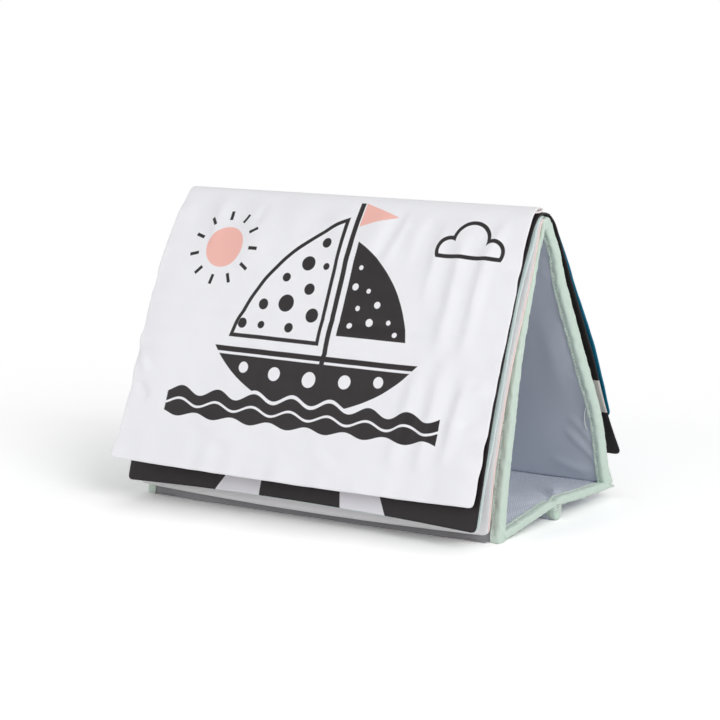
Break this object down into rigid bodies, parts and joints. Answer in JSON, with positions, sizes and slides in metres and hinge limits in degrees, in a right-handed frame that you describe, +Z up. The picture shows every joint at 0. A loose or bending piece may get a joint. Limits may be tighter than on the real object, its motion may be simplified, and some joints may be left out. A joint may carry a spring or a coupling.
{
  "type": "cloth easel book",
  "caption": "Soft cloth picture book that stands open like a tent: padded covers hinged at a ridge, a pleated cloth base between their feet, and cloth leaves hanging over the ridge.",
  "frame": {"origin": "middle of the book's footprint on the floor it stands on", "axes": "+X along the ridge, +Y towards the back cover, +Z up"},
  "size_m": [0.255, 0.1923, 0.1914],
  "materials": {
    "cover_cloth": "plain woven cotton, soft",
    "stiffener": "thin foam over card, hidden inside the cover",
    "lining": "satin woven lining, soft sheen",
    "mint_tape": "folded woven binding tape with a row of stitches",
    "white_leaf": "fine satin weave, printed",
    "black_leaf": "fine satin weave, printed in black and white blocks",
    "aqua_leaf": "fine satin weave",
    "pink_leaf": "fine satin weave with a pink seam",
    "teal_leaf": "fine satin weave",
    "base_cloth": "ribbed soft cloth, gathered at the middle"
  },
  "bodies": {
    "back_cover": {"back_outer_cloth": "cover_cloth", "back_board": "stiffener", "back_lining": "lining", "back_binding_left": "mint_tape", "back_binding_right": "mint_tape", "ridge_spine": "cover_cloth", "back_leaf_contrast": "black_leaf", "back_leaf_teal": "teal_leaf", "base_web": "base_cloth", "base_binding_left": "mint_tape", "base_binding_right": "mint_tape"},
    "front_cover": {"front_outer_cloth": "cover_cloth", "front_board": "stiffener", "front_lining": "lining", "front_binding_left": "mint_tape", "front_binding_right": "mint_tape", "leaf_plain": "pink_leaf", "leaf_aqua": "aqua_leaf", "leaf_contrast": "black_leaf", "leaf_print": "white_leaf"}
  },
  "joints": [
    {"name": "cover_fold", "type": "hinge", "parent": "back_cover", "child": "front_cover", "pos_m": [0, -0.00112, 0.176], "axis": [1, 0, 0], "range_deg": [0, 34], "deforming": ["base_web", "base_binding_left", "base_binding_right"]}
  ]
}
